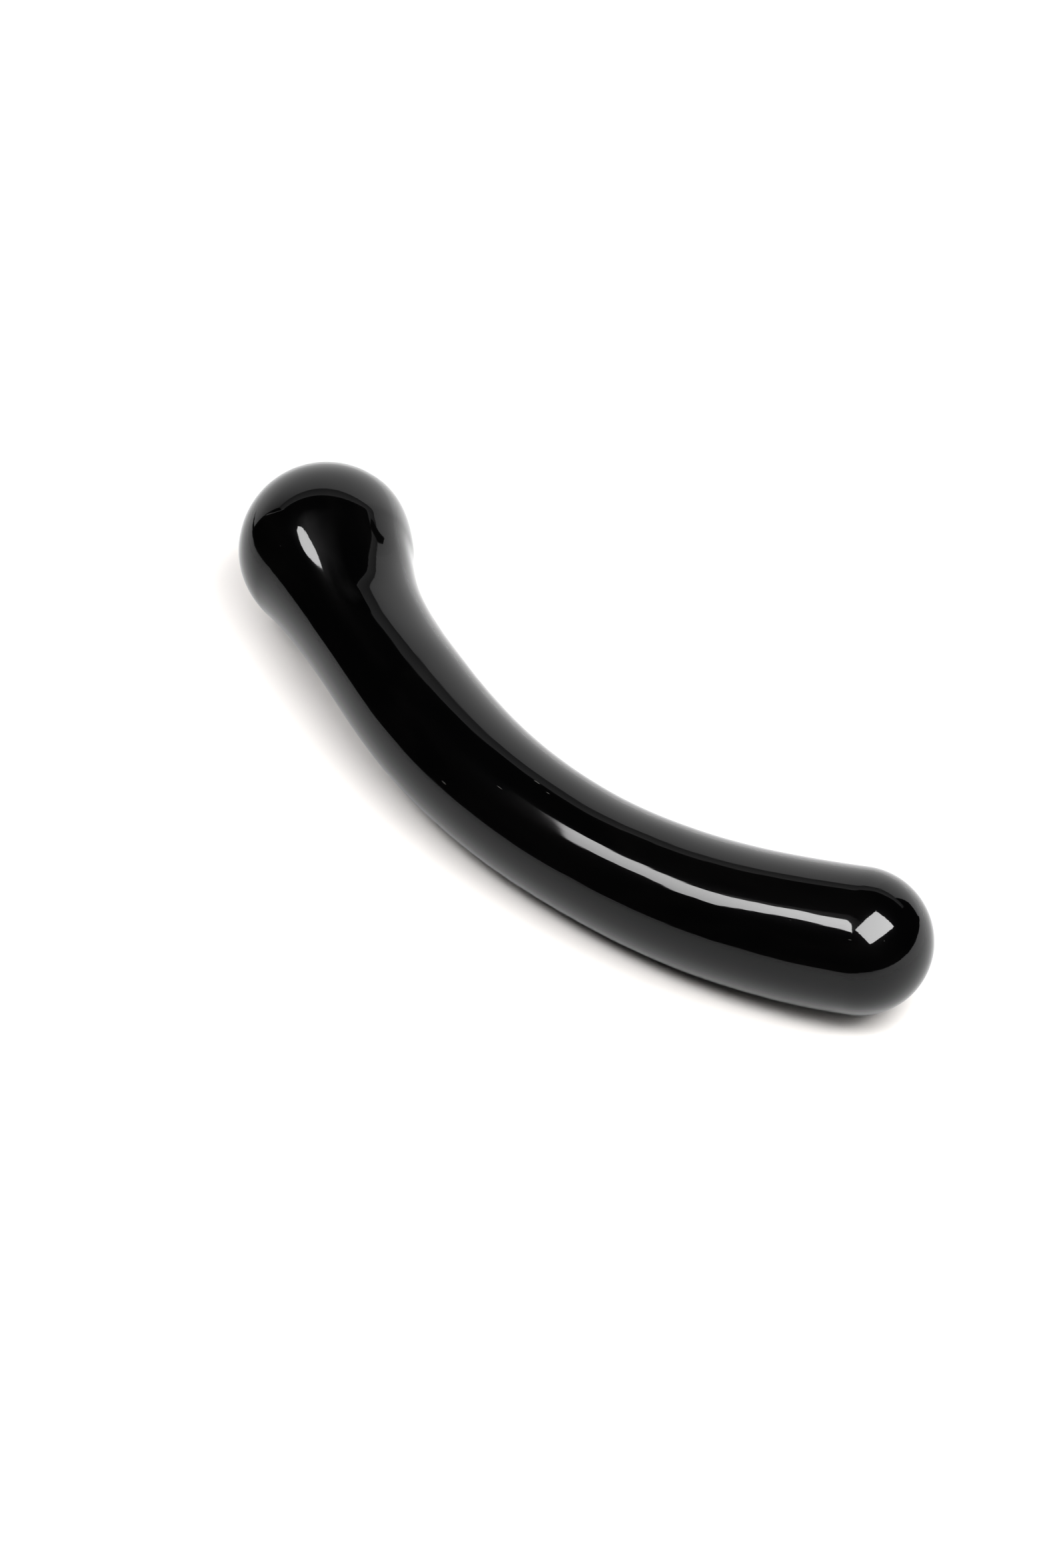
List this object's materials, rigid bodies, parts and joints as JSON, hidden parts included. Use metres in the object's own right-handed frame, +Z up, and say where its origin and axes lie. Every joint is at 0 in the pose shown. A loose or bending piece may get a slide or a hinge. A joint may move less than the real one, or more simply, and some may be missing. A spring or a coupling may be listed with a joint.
{
  "type": "massage wand",
  "caption": "Curved one-piece massage wand of polished black stone, with a round ball head, a slimmer bent shaft and a rounded tail.",
  "frame": {"origin": "on the surface the wand lies on, under the middle of its bounding box", "axes": "+X along the straight line from the ball head to the tail, +Y towards the inside of the bend, +Z up"},
  "size_m": [0.179, 0.0496, 0.036],
  "materials": {
    "black_stone": "polished"
  },
  "bodies": {
    "root": {"wand_body": "black_stone"}
  },
  "joints": []
}
